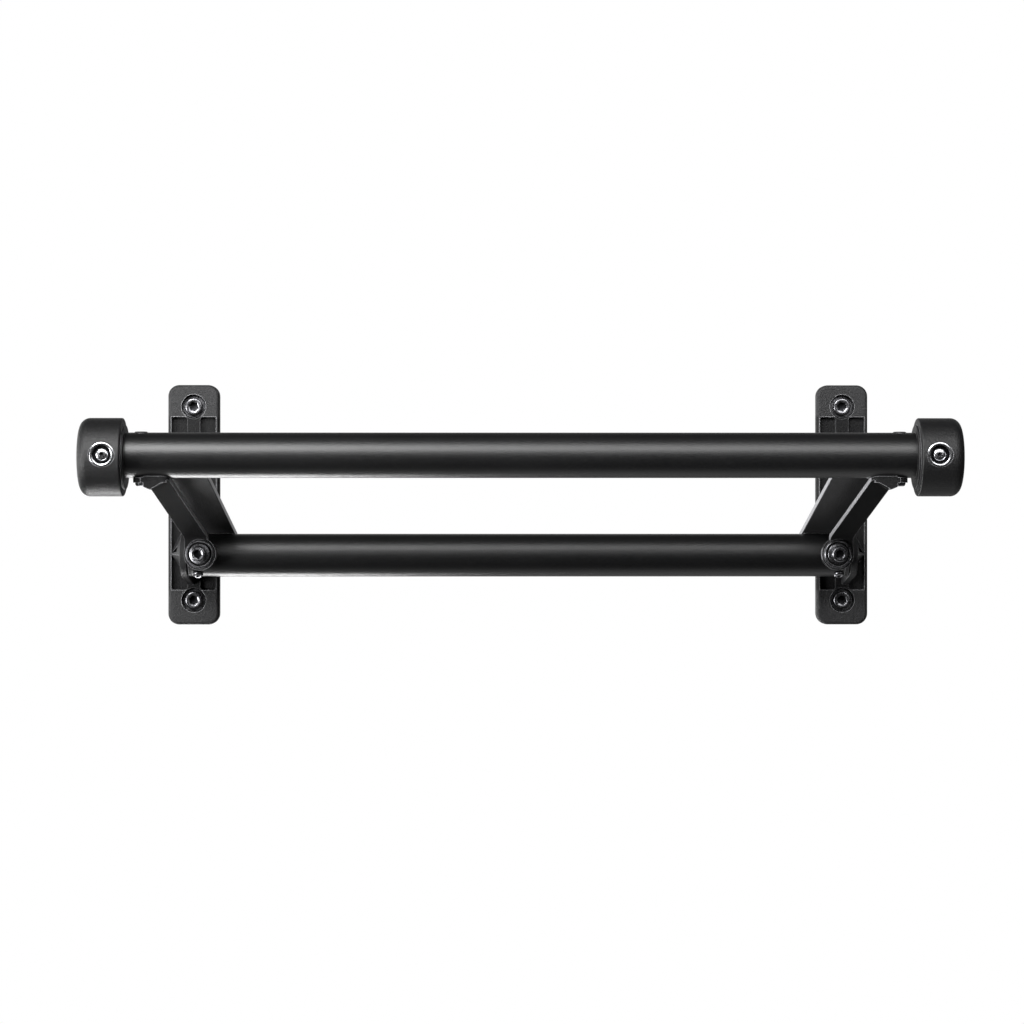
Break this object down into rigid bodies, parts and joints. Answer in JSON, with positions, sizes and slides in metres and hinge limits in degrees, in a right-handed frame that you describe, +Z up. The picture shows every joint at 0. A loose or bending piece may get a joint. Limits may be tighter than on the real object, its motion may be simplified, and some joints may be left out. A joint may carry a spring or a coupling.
{
  "type": "pull-up bar",
  "caption": "Wall-mounted pull-up bar: a long grip tube on splayed arms and brace straps that fold up about a lower tube hinged between two screwed wall brackets.",
  "frame": {"origin": "centre of the pattern of the wall screws, on the wall plane (the back faces of the bracket plates)", "axes": "+X along the bars to the right of someone facing the wall, +Y into the wall, +Z up"},
  "size_m": [0.763, 0.303, 0.2253],
  "materials": {
    "powder_coat": "satin black powder coat",
    "bar_coat": "fine satin black powder coat on tube",
    "collar_coat": "fine matte black powder coat on turned steel",
    "black_oxide": "oiled black oxide on steel fasteners",
    "bright_steel": "polished steel",
    "ground_steel": "ground steel pin",
    "bronze": "oil-filled sintered bronze"
  },
  "bodies": {
    "wall_brackets": {"wall_screws": "black_oxide", "wall_washers": "black_oxide", "left_wall_bracket": "powder_coat", "left_hinge_pin": "ground_steel", "left_stop_pin": "ground_steel", "right_wall_bracket": "powder_coat", "right_hinge_pin": "ground_steel", "right_stop_pin": "ground_steel"},
    "swing_frame": {"lower_tube": "bar_coat", "front_grip_tube": "bar_coat", "left_hinge_bush": "bronze", "left_end_plug": "powder_coat", "left_plug_screw": "bright_steel", "left_main_arm": "powder_coat", "left_brace_strap": "powder_coat", "left_strap_saddle": "powder_coat", "left_strap_washer": "black_oxide", "left_strap_bolt": "black_oxide", "left_bar_bolt": "black_oxide", "left_bar_nut": "powder_coat", "left_end_collar": "collar_coat", "left_set_screw": "bright_steel", "right_hinge_bush": "bronze", "right_end_plug": "powder_coat", "right_plug_screw": "bright_steel", "right_main_arm": "powder_coat", "right_brace_strap": "powder_coat", "right_strap_saddle": "powder_coat", "right_strap_washer": "black_oxide", "right_strap_bolt": "black_oxide", "right_bar_bolt": "black_oxide", "right_bar_nut": "powder_coat", "right_end_collar": "collar_coat", "right_set_screw": "bright_steel"}
  },
  "joints": [
    {"name": "frame_fold", "type": "hinge", "parent": "wall_brackets", "child": "swing_frame", "pos_m": [0, -0.059, -0.048], "axis": [-1, 0, 0], "range_deg": [0, 66]}
  ]
}
